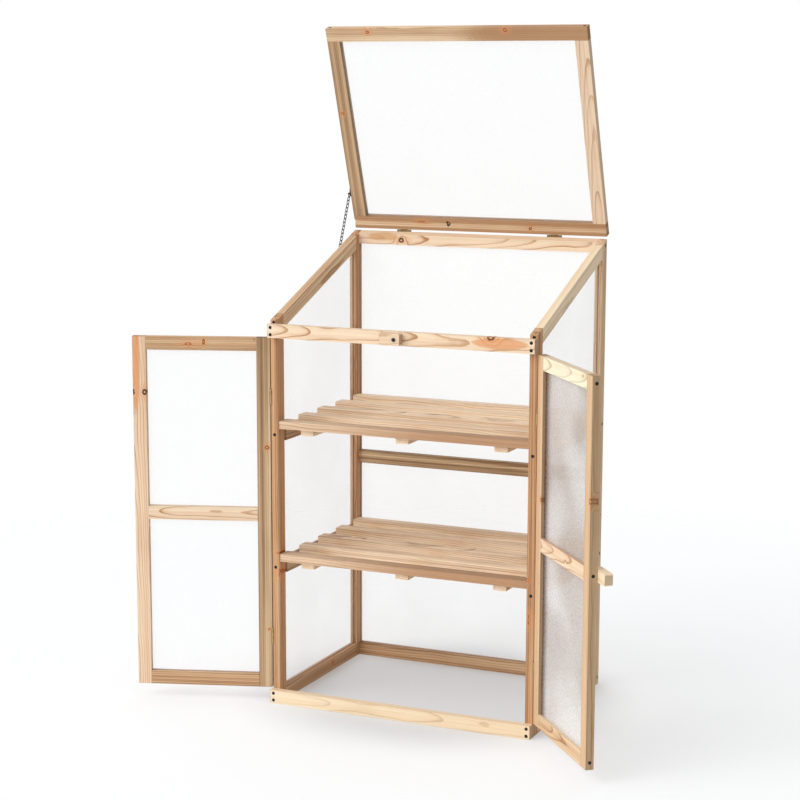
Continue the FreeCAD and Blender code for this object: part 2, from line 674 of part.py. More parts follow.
pin_tip = vec(pin_root - pin_long, pin_y, LID_MID)
chain_pin_head = Part.makeCylinder(CHAIN_PIN_HEAD_R, CHAIN_PIN_HEAD_H, pin_tip, -X_AXIS)
pieces["lid_chain_plate"] = lid_open(plate.fuse([chain_pin, chain_pin_head]).removeSplitter())

chain_frame_y = BACK - CHAIN_FRAME_BACK
chain_frame_z = slope_z(chain_frame_y) - HALF_TIMBER / cos(SLOPE)
frame_plate_y = (chain_frame_y - FRAME_PLATE_WIDE / 2, chain_frame_y + FRAME_PLATE_WIDE / 2)
frame_plate_z = (chain_frame_z - FRAME_PLATE_LONG / 2, chain_frame_z + FRAME_PLATE_LONG / 2)
frame_plate = block((-HALF - FRAME_PLATE_THICK, -HALF), frame_plate_y, frame_plate_z)
boss_at = vec(-HALF - FRAME_PLATE_THICK, chain_frame_y, chain_frame_z)
boss = Part.makeCylinder(FRAME_BOSS_R, FRAME_BOSS_H, boss_at, -X_AXIS)
pieces["frame_chain_plate"] = frame_plate.fuse(boss).removeSplitter()

upper = Part.Vertex(CHAIN_X, pin_y, LID_MID)
upper = lid_open(upper).Point
run_y = chain_frame_y - upper.y
run_z = chain_frame_z - upper.z
chain_long = hypot(run_y, run_z)
pin_clear = CHAIN_PIN_R + CHAIN_PIN_GAP
link_pitch = (chain_long + 2 * pin_clear - LINK_GAP) / LINKS
link_inner = link_pitch + LINK_GAP
first_centre = link_inner / 2 - pin_clear


def link():
    """One link about the origin, long in Z and wide in Y."""
    bend_r = LINK_WIDE / 2 - LINK_WIRE_R
    straight = link_inner / 2 + LINK_WIRE_R - bend_r
    solids = []
    for end in (-1, 1):
        ring = Part.makeTorus(bend_r, LINK_WIRE_R, vec(0, 0, end * straight), X_AXIS)
        half = (0, link_inner) if end > 0 else (-link_inner, 0)
        keep = block((-LINK_WIDE, LINK_WIDE), (-LINK_WIDE, LINK_WIDE), half)
        keep.translate(vec(0, 0, end * straight))
        solids.append(ring.common(keep))
        solids.append(Part.makeCylinder(LINK_WIRE_R, 2 * straight, vec(0, end * bend_r, -straight)))
    return solids[0].fuse(solids[1:]).removeSplitter()


one_link = link()
chain_tilt = degrees(atan2(-run_y, run_z))
links = []
for number in range(LINKS):
    spin = 0.0 if number == 0 else CHAIN_TWIST + LINK_TURN * (-1) ** number
    along = vec(0, 0, first_centre + number * link_pitch)
    shape = moved(turned(one_link, ORIGIN, Z_AXIS, spin), along)
    links.append(moved(turned(shape, ORIGIN, X_AXIS, chain_tilt), upper))
pieces["stay_chain"] = group(links)

for name, shape in pieces.items():
    shape.exportStep("parts/" + name + ".step")
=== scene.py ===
import bpy
from collections import namedtuple
from math import cos, radians, sin
from mathutils import Matrix, Vector


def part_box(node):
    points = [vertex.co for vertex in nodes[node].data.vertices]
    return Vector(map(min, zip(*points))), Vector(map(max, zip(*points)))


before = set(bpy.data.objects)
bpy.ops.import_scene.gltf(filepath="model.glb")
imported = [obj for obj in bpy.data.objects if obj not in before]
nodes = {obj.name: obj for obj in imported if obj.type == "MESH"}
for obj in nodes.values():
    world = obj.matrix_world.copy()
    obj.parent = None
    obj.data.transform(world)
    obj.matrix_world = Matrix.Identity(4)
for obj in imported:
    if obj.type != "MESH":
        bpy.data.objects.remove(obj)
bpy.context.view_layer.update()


class Field:
    """A shader socket that takes part in arithmetic."""

    def __init__(self, graph, socket):
        self.graph = graph
        self.socket = socket

    def __add__(self, other):
        return self.graph.maths("ADD", self, other)

    def __radd__(self, other):
        return self.graph.maths("ADD", self, other)

    def __sub__(self, other):
        return self.graph.maths("SUBTRACT", self, other)

    def __mul__(self, other):
        return self.graph.maths("MULTIPLY", self, other)

    def __truediv__(self, other):
        return self.graph.maths("DIVIDE", self, other)

    def __abs__(self):
        return self.graph.maths("ABSOLUTE", self, 0.0)

    def fraction(self):
        return self.graph.maths("FRACT", self, 0.0)

    def floor(self):
        return self.graph.maths("FLOOR", self, 0.0)

    def root(self):
        return self.graph.maths("SQRT", self, 0.0)

    def step(self, low, high, start=0.0, end=1.0):
        """A smooth step of this field between two levels."""
        sockets = {"Value": self, "From Min": low, "From Max": high, "To Min": start, "To Max": end}
        settings = {"interpolation_type": "SMOOTHSTEP"}
        return self.graph.node("ShaderNodeMapRange", sockets, "Result", **settings)

    def fade(self, low, high, start=1.0):
        """A smooth step down to nothing."""
        return self.step(low, high, start, 0.0)


class Graph:
    """A node tree that is built up from expressions."""

    def __init__(self, tree):
        self.tree = tree
        self.tree.nodes.clear()

    def make(self, kind, sockets, **settings):
        made = self.tree.nodes.new(kind)
        for key, value in settings.items():
            setattr(made, key, value)
        for key, value in sockets.items():
            if isinstance(value, Field):
                self.tree.links.new(value.socket, made.inputs[key])
            else:
                made.inputs[key].default_value = value
        return made

    def node(self, kind, sockets, output, **settings):
        """Any node: its kind, its inputs, the output wanted and its settings."""
        return Field(self, self.make(kind, sockets, **settings).outputs[output])

    def maths(self, operation, first, second):
        return self.node("ShaderNodeMath", {0: first, 1: second}, "Value", operation=operation)

    def dot(self, vector, direction):
        sockets = {0: vector, 1: direction}
        return self.node("ShaderNodeVectorMath", sockets, "Value", operation="DOT_PRODUCT")

    def distance(self, vector, point):
        sockets = {0: vector, 1: point}
        return self.node("ShaderNodeVectorMath", sockets, "Value", operation="DISTANCE")

    def combine(self, x, y, z):
        return self.node("ShaderNodeCombineXYZ", {"X": x, "Y": y, "Z": z}, "Vector")

    def mix(self, first, second, amount):
        """A colour between two others."""
        settings = {"data_type": "RGBA", "clamp_factor": True}
        return self.node("ShaderNodeMix", {0: amount, 6: first, 7: second}, 2, **settings)

    def blend(self, first, second, amount):
        """A shader between two others."""
        return self.node("ShaderNodeMixShader", {0: amount, 1: first, 2: second}, "Shader")

    def noise(self, vector, scale, detail=2.0, roughness=0.5):
        sockets = {"Vector": vector, "Scale": scale, "Detail": detail, "Roughness": roughness}
        return self.node("ShaderNodeTexNoise", sockets, "Fac")

    def chance(self, number):
        """A chance value from 0 to 1 for a whole number."""
        settings = {"noise_dimensions": "1D"}
        return self.node("ShaderNodeTexWhiteNoise", {"W": number}, "Value", **settings)

    def bump(self, height, strength, distance):
        sockets = {"Height": height, "Strength": strength, "Distance": distance}
        return self.node("ShaderNodeBump", sockets, "Normal")

    def light_path(self, kind):
        return self.node("ShaderNodeLightPath", {}, kind)


class Look(Graph):
    """The node tree of one material."""

    def __init__(self, name):
        self.material = bpy.data.materials.new(name)
        self.material.use_nodes = True
        super().__init__(self.material.node_tree)
        self.place = self.node("ShaderNodeTexCoord", {}, "Object")

    def surface(self, **values):
        sockets = {key.replace("_", " "): value for key, value in values.items()}
        return self.node("ShaderNodeBsdfPrincipled", sockets, "BSDF")

    def show(self, shader):
        """The material, with this shader as its surface."""
        self.make("ShaderNodeOutputMaterial", {"Surface": shader})
        return self.material


def linear(red, green, blue):
    """A colour given in the usual 0 to 255 values, as the shader wants it."""
    levels = []
    for value in (red, green, blue):
        value = value / 255.0
        levels.append(value / 12.92 if value <= 0.04045 else ((value + 0.055) / 1.055) ** 2.4)
    return (levels[0], levels[1], levels[2], 1.0)


def dress(name, material):
    """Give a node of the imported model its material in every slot."""
    slots = nodes[name].data.materials
    for number in range(len(slots)):
        slots[number] = material


# Timber: growth rings round a pith beside each board, bent by knots, with streaks, bands and fibre
RING = 0.0040
END_SKIN = (0.0008, 0.0003)
HALF_WIDE = 0.0136
WARMTH_HALF_WIDE = 0.011
# Height range of the top face of a shelf's first slat, which gets painted shade
SHELF_TOP = (0.0072, 0.0078)
SEED_STEP = 0.618
KNOT_RED = linear(168, 84, 42)
KNOT_DARK = linear(34, 18, 9)
KNOT_PALE = linear(222, 162, 108)
WARM = linear(220, 148, 92)
# Colours of painted shade for the long narrow faces of boards and for a shelf's first slat
OLIVE_SHADE = linear(134, 108, 76)
RUSSET_SHADE = linear(176, 108, 76)
SHELF_FRONT_SHADE = linear(172, 126, 90)
SAND = linear(216, 178, 138)
UMBER = linear(164, 116, 77)
HONEY = linear(208, 158, 110)

# name: early wood, late wood, light bands, then how strong rings, streaks and bands are
TONES = {
    "cream": (linear(241, 215, 184), linear(190, 134, 88), linear(232, 220, 190), 0.90, 0.28, 0.40),
    "blond": (linear(242, 218, 184), linear(206, 168, 128), linear(248, 232, 202), 0.50, 0.25, 0.50),
    "peach": (linear(238, 208, 176), linear(190, 138, 98), linear(244, 222, 194), 0.80, 0.45, 0.50),
    "yellow": (linear(240, 233, 204), linear(200, 170, 118), linear(244, 238, 212), 0.70, 0.20, 0.40),
    "straw": (linear(230, 199, 161), linear(172, 124, 84), linear(240, 216, 180), 0.75, 0.60, 0.60),
    "honey": (linear(212, 172, 132), linear(150, 102, 65), linear(234, 205, 165), 0.75, 0.85, 0.65),
    "amber": (linear(208, 160, 117), linear(142, 94, 60), linear(226, 186, 142), 0.60, 0.85, 0.50),
    "tan": (linear(205, 170, 132), linear(136, 102, 69), linear(232, 206, 166), 0.60, 1.00, 0.70),
    "slat": (linear(244, 216, 184), linear(178, 136, 102), linear(252, 232, 202), 0.70, 0.55, 0.45),
    "rose": (linear(232, 203, 171), linear(194, 146, 110), linear(242, 219, 190), 0.75, 0.30, 0.40),
}

# A board: its length and width directions, its tone, where the pith of its log lay, the log's tilt,
# and the colour of the painted shade on its two long narrow faces with that shade's strength
Board = namedtuple("Board", "along wide tone pith tilt edge", defaults=(None,))

# A knot: its place along and across the board, its radius, how far it is drawn out along the
# grain, how black it is, and how many radii the warmth round it reaches
Knot = namedtuple("Knot", "at aside size stretch black reach")

# A zone of heartwood: its place along and across the board, its half length and half width, its
# stain, and the strength of the dark line round it; without that line its end is soft
Zone = namedtuple("Zone", "at aside half_long half_wide stain outline")


def knot_marks(graph, length, width, ripple, knots):
    """How far knots push the rings aside, and where their cores, eyes, rims, black and warmth lie."""
    push = core = eyes = rim = soot = warm = 0.0
    for knot in knots:
        size = knot.size
        along = (length - knot.at) / knot.stretch
        across = width - knot.aside
        distance = (along * along + across * across).root() + ripple * (size * 0.9)
        inside = distance.fade(size * 0.8, size * 1.0)
        circle = distance.step(size * 0.30, size * 0.62)
        push = push + distance.fade(0.0, size * 4.0, size * 1.3)
        core = core + inside
        eyes = eyes + inside * circle
        rim = rim + distance.step(size * 0.6, size * 0.9) * distance.fade(size * 1.0, size * 1.3)
        soot = soot + distance.fade(size * 1.0, size * 1.4, knot.black) * circle
        if knot.reach:
            onward = along / (size * knot.reach)
            sideways = across / WARMTH_HALF_WIDE
            spread = onward * onward + sideways * sideways
            warm = warm + (spread + ripple * 0.7).fade(0.0, 1.3, 0.38)
    return push, core, eyes, rim, soot, warm


def knotted(graph, colour, line, core, eyes, rim, soot, warm):
    """The colour with knots in it: warmth round them, a pale heart and a red or black ring."""
    colour = graph.mix(colour, graph.mix(WARM, KNOT_RED, line * 0.6), warm)
    heart = graph.mix(graph.mix(KNOT_PALE, KNOT_RED, eyes), KNOT_DARK, soot)
    colour = graph.mix(colour, heart, core * 0.9)
    return graph.mix(colour, graph.mix(KNOT_RED, KNOT_DARK, soot), rim * 0.85)


def hearted(graph, colour, dark, fine, length, width, ripple, zones):
    """The colour with long zones of heartwood in it."""
    for zone in zones:
        along = (length - zone.at) / zone.half_long
        across = (width - zone.aside) / zone.half_wide
        spread = along * along + across * across + ripple * 0.3
        inside = spread.fade(0.80, 1.0) if zone.outline else spread.fade(0.35, 1.15)
        stain = graph.mix(zone.stain, dark, fine.step(0.45, 0.8) * 0.45)
        colour = graph.mix(colour, stain, inside * 0.75)
        if zone.outline:
            border = spread.step(0.82, 1.0) * spread.fade(1.0, 1.12)
            colour = graph.mix(colour, dark, border * zone.outline)
    return colour


def growth_rings(graph, board, seed, length, width, depth, near, push):
    """Late wood, the dark line that ends each ring, and how strongly the rings show."""
    slow = graph.combine(length + seed * 2.1, width * 2.0, depth * 2.0)
    bend = graph.noise(slow, 2.6, 2.0, 0.45) - 0.5
    sway = graph.noise(slow, 7.5, 1.0, 0.4) - 0.5
    across = width - board.pith[0] + bend * 0.022
    below = depth - board.pith[1] + length * board.tilt + sway * 0.010
    radius = (across * across + below * below).root() + bend * 0.014 + push
    wander = graph.noise(near, 38.0, 2.0) - 0.5
    uneven = graph.noise(graph.combine(radius * 90.0, seed, 0.0), 1.0, 1.0) - 0.5
    ring = (radius / RING + wander * 0.25 + uneven * 1.1).fraction()
    late = ring.step(0.40, 0.92) * ring.fade(0.95, 1.0)
    line = ring.step(0.74, 0.92) * ring.fade(0.95, 1.0)
    strength = graph.noise(slow, 5.5, 1.0).step(0.3, 0.7, 0.45, 1.0)
    return late, line, strength


def timber(name, board, seed, knots=(), zones=(), rows=None, ends=0.55, front=None):
    """Pine for one board, or for a row of boards that are told apart by their place.

    rows is the distance between the boards of a row, ends the darkness of end grain, and front
    the place of the first slat's back edge, where a shelf's first slat is given a pinker, darker
    tone and painted shade that grows towards its +x end and darkens its top.
    """
    along = Vector(board.along).normalized()
    wide = Vector(board.wide).normalized()
    thin = along.cross(wide)
    low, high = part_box(name)
    centre = (low + high) / 2
    half_long = max(abs((vertex.co - centre).dot(along)) for vertex in nodes[name].data.vertices)
    pale, dark, light, ring_strength, streak_strength, band_strength = TONES[board.tone]
    deep = tuple(0.5 * level for level in dark[:3]) + (1.0,)

    graph = Look("pine_" + name)
    length = graph.dot(graph.place, along) - centre.dot(along)
    width = graph.dot(graph.place, wide) - centre.dot(wide)
    depth = graph.dot(graph.place, thin) - centre.dot(thin)
    end_face = abs(length).step(half_long - END_SKIN[0], half_long - END_SKIN[1])
    near = graph.combine(length + seed * 1.37, width + seed * 0.31, depth + seed * 0.53)
    ripple = graph.noise(near, 170.0, 1.0) - 0.5
    push, *marks = knot_marks(graph, length, width, ripple, knots)

    # Each board of a row is cut from another place of the log
    place_along, place_through = length, depth
    shade = 0.0
    if rows is not None:
        chance = graph.chance((width / rows + 0.5 + 40.0).floor() + seed)
        length = length + chance * 2.7
        depth = depth + chance * 0.017
        shade = (chance - 0.5) * 0.24

    def streaks(stretch, offset, scale, detail, roughness):
        """Noise that is drawn out along the board."""
        drawn = graph.combine(length * stretch + offset, width * scale, depth * scale)
        return graph.noise(drawn, 1.0, detail, roughness)

    late, line, strength = growth_rings(graph, board, seed, length, width, depth, near, push)
    bands = streaks(0.7, seed * 9.0, 75.0, 1.0, 0.4)
    broad = streaks(1.1, seed * 4.0, 130.0, 2.0, 0.5)
    fine = streaks(5.0, seed, 480.0, 2.0, 0.55)
    fibre = streaks(26.0, seed, 1300.0, 2.0, 0.6)
    cloud = graph.noise(near, 11.0, 2.0)

    amount = (late * 0.35 + line * 0.65) * strength * ring_strength
    amount = amount + broad.step(0.36, 0.70) * streak_strength * 0.75 + fine.step(0.45, 0.8) * 0.25
    amount = amount + (cloud - 0.5) * 0.25 + shade
    lines = line * strength * ring_strength * 0.30 + broad.step(0.62, 0.76) * streak_strength * 0.22
    colour = graph.mix(pale, light, bands.step(0.50, 0.66) * band_strength)
    colour = graph.mix(colour, dark, amount)
    colour = graph.mix(colour, deep, fibre.step(0.58, 0.82) * 0.28 + lines)
    colour = hearted(graph, colour, dark, fine, length, width, ripple, zones)
    if knots:
        colour = knotted(graph, colour, line, *marks)
    colour = graph.mix(colour, deep, end_face * ends)
    # Painted shade: the board's two long narrow faces are darkened towards the given colour
    if board.edge is not None:
        stain, edge_shade_strength = board.edge
        edge_shade_mask = abs(width).step(HALF_WIDE, HALF_WIDE + 0.0003)
        colour = graph.mix(colour, stain, edge_shade_mask * edge_shade_strength)
    # A shelf's first slat: a pinker, darker tone along its whole length, and painted shade that grows
    # towards the +x end and darkens its top with olive
    if front is not None:
        first = width.fade(front, front + 0.01)
        top = place_through.step(*SHELF_TOP)
        onward = (place_along + ripple * 0.05).step(-0.24, 0.10)
        colour = graph.mix(colour, SHELF_FRONT_SHADE, first * (onward * 0.60 + 0.25))
        colour = graph.mix(colour, OLIVE_SHADE, top * (first * (onward * 0.15 + 0.22)))
    surface = graph.surface(
        Base_Color=colour,
        Roughness=0.52 + fibre * 0.2 - late * 0.08,
        Normal=graph.bump(fibre * 0.4 + late * 0.4 + fine * 0.3, 0.2, 0.0005),
        Specular_IOR_Level=0.25,
    )
    return graph.show(surface)


# Directions along the open doors, the side rails and the open lid
LEFT_OPEN = radians(161.0)
RIGHT_OPEN = radians(130.1)
LID_LEAN = radians(109.34)
X = Vector((1.0, 0.0, 0.0))
Y = Vector((0.0, 1.0, 0.0))
Z = Vector((0.0, 0.0, 1.0))
LEFT = Vector((cos(LEFT_OPEN), -sin(LEFT_OPEN), 0.0))
RIGHT = Vector((-cos(RIGHT_OPEN), -sin(RIGHT_OPEN), 0.0))
UPHILL = Vector((0.0, 0.410, 0.152)).normalized()
LEAN = Vector((0.0, cos(LID_LEAN), sin(LID_LEAN)))

# Where the pith of the log lay: beside the edge gives straight stripes on the wide face,
# behind the face gives arches
EDGE = (0.040, 0.006)
SIDE = (0.040, 0.020)
SPLIT = (0.026, -0.020)
FACE = (0.003, -0.030)

BOARDS = {
    "left_front_post": Board(Z, X, "amber", SIDE, 0.004),
    "right_front_post": Board(Z, X, "amber", SIDE, 0.004),
    "left_back_post": Board(Z, Y, "amber", EDGE, 0.005),
    "right_back_post": Board(Z, Y, "straw", SPLIT, 0.01),
    "front_top_rail": Board(X, Z, "cream", FACE, 0.035),
    "front_bottom_rail": Board(X, Z, "blond", FACE, 0.014),
    "left_slope_rail": Board(UPHILL, X, "straw", EDGE, 0.01),
    "right_slope_rail": Board(UPHILL, X, "blond", EDGE, 0.01),
    "left_upper_bearer": Board(Y, Z, "tan", EDGE, 0.01),
    "right_upper_bearer": Board(Y, Z, "straw", FACE, 0.03),
    "left_lower_bearer": Board(Y, Z, "tan", EDGE, 0.01),
    "right_lower_bearer": Board(Y, Z, "straw", FACE, 0.02),
    "left_bottom_rail": Board(Y, Z, "honey", SPLIT, 0.03),
    "right_bottom_rail": Board(Y, Z, "straw", FACE, 0.03),
    "back_top_rail": Board(X, Z, "cream", FACE, 0.04),
    "back_shelf_rails": Board(X, Z, "honey", FACE, 0.03),
    "back_mid_rail": Board(X, Z, "tan", SPLIT, 0.01),
    "back_bottom_rail": Board(X, Z, "honey", SPLIT, 0.01),
    "left_door_hinge_stile": Board(Z, LEFT, "tan", EDGE, 0.004, (OLIVE_SHADE, 0.20)),
    "left_door_free_stile": Board(Z, LEFT, "peach", SPLIT, 0.03, (OLIVE_SHADE, 0.20)),
    "left_door_top_rail": Board(LEFT, Z, "honey", EDGE, 0.01),
    "left_door_mid_rail": Board(LEFT, Z, "cream", FACE, 0.03),
    "left_door_bottom_rail": Board(LEFT, Z, "honey", EDGE, 0.01),
    "right_door_hinge_stile": Board(Z, RIGHT, "straw", EDGE, 0.004, (OLIVE_SHADE, 0.5)),
    "right_door_free_stile": Board(Z, RIGHT, "straw", EDGE, 0.004, (OLIVE_SHADE, 0.55)),
    "right_door_top_rail": Board(RIGHT, Z, "yellow", FACE, 0.05, (RUSSET_SHADE, 0.35)),
    "right_door_mid_rail": Board(RIGHT, Z, "cream", FACE, 0.06, (RUSSET_SHADE, 0.45)),
    "right_door_bottom_rail": Board(RIGHT, Z, "straw", FACE, 0.03),
    "lid_left_stile": Board(LEAN, X, "tan", EDGE, 0.01, (OLIVE_SHADE, 0.35)),
    "lid_right_stile": Board(LEAN, X, "rose", FACE, 0.05, (OLIVE_SHADE, 0.2)),
    "lid_front_rail": Board(X, LEAN, "straw", EDGE, 0.006),
    "lid_back_rail": Board(X, LEAN, "straw", EDGE, 0.006, (OLIVE_SHADE, 0.20)),
    "top_turn_button": Board(X, Z, "rose", FACE, 0.02),
    "right_door_turn_button": Board(RIGHT, Z, "blond", FACE, 0.02),
}
KNOTS = {
    "left_front_post": [
        Knot(-0.0885, 0.006, 0.0030, 0.8, 0.3, 3),
        Knot(-0.130, 0.007, 0.0010, 8.0, 0.0, 3),
    ],
    "right_front_post": [
        Knot(-0.0884, -0.0060, 0.0036, 1.0, 0.0, 2),
        Knot(-0.168, -0.0035, 0.0011, 9.0, 0.3, 3),
    ],
    "right_back_post": [Knot(-0.1066, 0.0103, 0.0018, 1.0, 1.0, 0)],
    "front_top_rail": [Knot(0.1985, 0.0135, 0.0056, 1.3, 0.7, 5)],
    "right_upper_bearer": [Knot(0.06, 0.003, 0.0035, 1.3, 0.5, 5)],
    "left_bottom_rail": [Knot(0.05, 0.004, 0.0035, 1.3, 0.5, 5)],
    "back_top_rail": [Knot(-0.1714, -0.0040, 0.0050, 1.2, 1.0, 5)],
    "left_door_hinge_stile": [
        Knot(0.1427, -0.0063, 0.0044, 0.9, 0.4, 4),
        Knot(-0.246, -0.008, 0.0022, 1.0, 0.2, 3),
    ],
    "left_door_free_stile": [
        Knot(0.2547, 0.0155, 0.0045, 1.3, 1.0, 0),
        Knot(0.2551, -0.0105, 0.0042, 1.4, 1.0, 4),
    ],
    "left_door_top_rail": [
        Knot(-0.0063, 0.0034, 0.0050, 0.5, 0.5, 5),
        Knot(0.0262, -0.0012, 0.0028, 2.4, 0.0, 5),
        Knot(-0.1113, 0.0096, 0.0014, 1.0, 0.9, 0),
    ],
    "right_door_hinge_stile": [Knot(0.090, 0.012, 0.0035, 1.2, 0.25, 3)],
    "right_door_free_stile": [Knot(0.1406, 0.012, 0.0045, 1.2, 0.3, 4)],
    "right_door_top_rail": [Knot(0.0945, 0.0071, 0.0014, 1.5, 0.4, 0)],
    "right_door_mid_rail": [Knot(0.02, 0.0, 0.0016, 1.3, 0.4, 0)],
    "lid_left_stile": [Knot(0.039, -0.004, 0.0040, 0.6, 0.3, 5)],
    "lid_front_rail": [
        Knot(0.114, 0.009, 0.0042, 0.8, 0.3, 5),
        Knot(-0.193, 0.006, 0.0034, 1.0, 0.1, 5),
    ],
    "lid_back_rail": [
        Knot(-0.0673, 0.0030, 0.0056, 0.7, 1.0, 0),
        Knot(-0.128, 0.0056, 0.0018, 4.0, 0.1, 4),
        Knot(0.1202, -0.0021, 0.0022, 1.5, 0.9, 4),
    ],
}
WHOLE_LENGTH = 4.0
ZONES = {
    "front_top_rail": [Zone(0.2183, 0.0021, 0.058, 0.0105, WARM, 0.45)],
    "back_top_rail": [Zone(-0.2155, 0.0030, 0.040, 0.0095, HONEY, 0.0)],
    "right_door_hinge_stile": [Zone(0.0, -0.0070, WHOLE_LENGTH, 0.0095, SAND, 0.0)],
    "right_door_free_stile": [Zone(0.0, -0.0050, WHOLE_LENGTH, 0.0120, SAND, 0.0)],
    "left_door_free_stile": [Zone(0.33, 0.0085, 0.120, 0.0095, WARM, 0.3)],
    "lid_back_rail": [
        Zone(0.0, 0.0110, WHOLE_LENGTH, 0.0060, UMBER, 0.0),
        Zone(0.0, -0.0110, WHOLE_LENGTH, 0.0050, UMBER, 0.0),
    ],
    "lid_front_rail": [Zone(0.20, 0.0, 0.20, 0.05, UMBER, 0.0)],
}
for number, (name, board) in enumerate(BOARDS.items(), start=1):
    marks = KNOTS.get(name, []), ZONES.get(name, [])
    dress(name, timber(name, board, number * SEED_STEP, *marks))

# Shelf slats and battens: the distance between their rows, the darkness of their ends, and the
# place where the first slat ends, which carries a pinker tone and painted shade
SHELF_LOG = (0.01, -0.12)
SLAT = Board(X, Y, "slat", SHELF_LOG, 0.03), 0.090, 0.2, -0.150
BATTEN = Board(Y, X, "cream", SHELF_LOG, 0.03), 0.213, 0.0, None
SHELVES = {
    "upper_shelf_slats": SLAT,
    "lower_shelf_slats": SLAT,
    "upper_shelf_battens": BATTEN,
    "lower_shelf_battens": BATTEN,
}
for number, (name, (board, rows, ends, front)) in enumerate(SHELVES.items()):
    dress(name, timber(name, board, 31.7 + number * 2.3, (), (), rows, ends, front))

# Clear sheets with a fine pebbled face
SHEET_WHITE = (0.95, 0.95, 0.95, 1.0)
# Colour and place of a painted band of shade and reflection beside a door's hinge stile
STILE_BAND_SHADE = linear(84, 54, 36)
STILE_EDGES = (-0.114, -0.084)


def pebbled(name, haze, tint, cloudy, fade=0.0, shaded=None):
    """A sheet. Where shaded names a node, a dark band of painted shade and reflection lies beside
    that stile.
    """
    graph = Look(name)
    cells_sockets = {"Vector": graph.place, "Scale": 400.0}
    cells = graph.node("ShaderNodeTexVoronoi", cells_sockets, "Distance")
    grain = graph.noise(graph.place, 230.0, 2.0)
    cloud = graph.noise(graph.place, 6.0, 1.0)
    low = graph.dot(graph.place, Z).step(0.60, 0.10)
    # Random cloudy patches, plus painted light: fade lightens the lower part
    patches_and_painted_light = cloud.step(0.36, 0.66) * cloudy + low * fade
    # Painted glints: white specks in the colour, stronger in the lower part
    painted_glint = cells.step(0.25, 0.6) * (low * 0.25 + 0.10)
    colour = graph.mix(tint, SHEET_WHITE, patches_and_painted_light + painted_glint)
    alpha = haze + (cloud - 0.5) * 0.12 + (grain - 0.5) * 0.05
    # Painted shade and reflection: a dark band beside the hinge stile, where the sheet is also made
    # less clear
    if shaded is not None:
        low_end, high_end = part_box(shaded)
        aside = graph.dot(graph.place, RIGHT) - ((low_end + high_end) / 2).dot(RIGHT)
        stile_band_shade = aside.fade(*STILE_EDGES, 0.9)
        colour = graph.mix(colour, STILE_BAND_SHADE, stile_band_shade)
        alpha = alpha + stile_band_shade * 0.25
    surface = graph.surface(
        Base_Color=colour,
        Roughness=0.16 + grain * 0.22,
        Alpha=alpha,
        Normal=graph.bump(cells + grain * 0.6, 0.3, 0.0006),
        IOR=1.45,
    )
    return graph.show(surface)


clear = pebbled("pebbled_sheet", 0.10, linear(240, 242, 240), 0.5)
misty = pebbled("pebbled_sheet_side", 0.12, linear(232, 233, 228), 0.5)
# The right door's sheets are the same clear sheet as the others; their grey tint and denser, less
# clear look are painted shade and painted reflection
DOOR_SHEET_SHADE_TINT = linear(188, 175, 164)
door_sheet_painted_shade = pebbled("pebbled_sheet_door_painted_shade", 0.72, DOOR_SHEET_SHADE_TINT, 0.42, 0.10, "right_door_upper_sheet")
for name in nodes:
    if name.endswith(("sheet", "sheets")):
        # The right door's sheets take the sheet with painted shade and reflection
        if name.startswith("right_door"):
            dress(name, door_sheet_painted_shade)
        else:
            dress(name, misty if "side" in name else clear)


def metal(name, colour, worn, roughness, metallic, scale=700.0):
    """Metal with worn patches and a fine grain."""
    graph = Look(name)
    grain = graph.noise(graph.place, scale, 3.0)
    patch = graph.noise(graph.place, scale / 6, 2.0)
    wear = patch.step(0.4, 0.75) * 0.6 + grain.step(0.5, 0.8) * 0.3
    surface = graph.surface(
        Base_Color=graph.mix(colour, worn, wear),
        Roughness=roughness + (grain - 0.5) * 0.25,
        Metallic=metallic,
        Normal=graph.bump(grain, 0.15, 0.0002),
    )
    return graph.show(surface)


brass = metal("aged_brass", linear(190, 158, 112), linear(126, 98, 60), 0.45, 0.6)
# A darker copy of the brass, as painted shade, for the hinge leaves between the lid and the back rail
brass_painted_shade = metal("brass_painted_shade", linear(128, 104, 62), linear(92, 72, 42), 0.5, 0.5)
black = metal("black_screw", linear(22, 20, 19), linear(46, 42, 38), 0.45, 0.3)
plate = metal("black_plate", linear(14, 13, 12), linear(34, 31, 28), 0.5, 0.3)
steel = metal("chain_dark_steel", linear(62, 62, 62), linear(30, 30, 30), 0.42, 0.7)
for name in nodes:
    # These hinge leaves take the brass with painted shade
    if name in ("rail_hinge_leaves", "lid_hinge_leaves"):
        dress(name, brass_painted_shade)
    elif name.endswith("hinge_leaves") or name == "hinge_pins":
        dress(name, brass)
    elif name.endswith("screws"):
        dress(name, black)
    elif name.endswith("chain_plate"):
        dress(name, plate)
dress("stay_chain", steel)

# Floor: pale, with a painted shadow that greys it under the part, fading out into the white
# surroundings
FLOOR_HALF = 4
FLOOR_DROP = 0.0004
MIDDLE_OF_PART = (0.0, 0.2, 0.0)
UNDER_PART = (0.24, 0.46)
FADING = (0.95, 2.3)
FLOOR_PAINTED_SHADOW = (0.74, 0.755, 0.78, 1.0)
FLOOR_PALE = (0.955, 0.958, 0.96, 1.0)
FLOOR_PALEST = (0.97, 0.97, 0.972, 1.0)


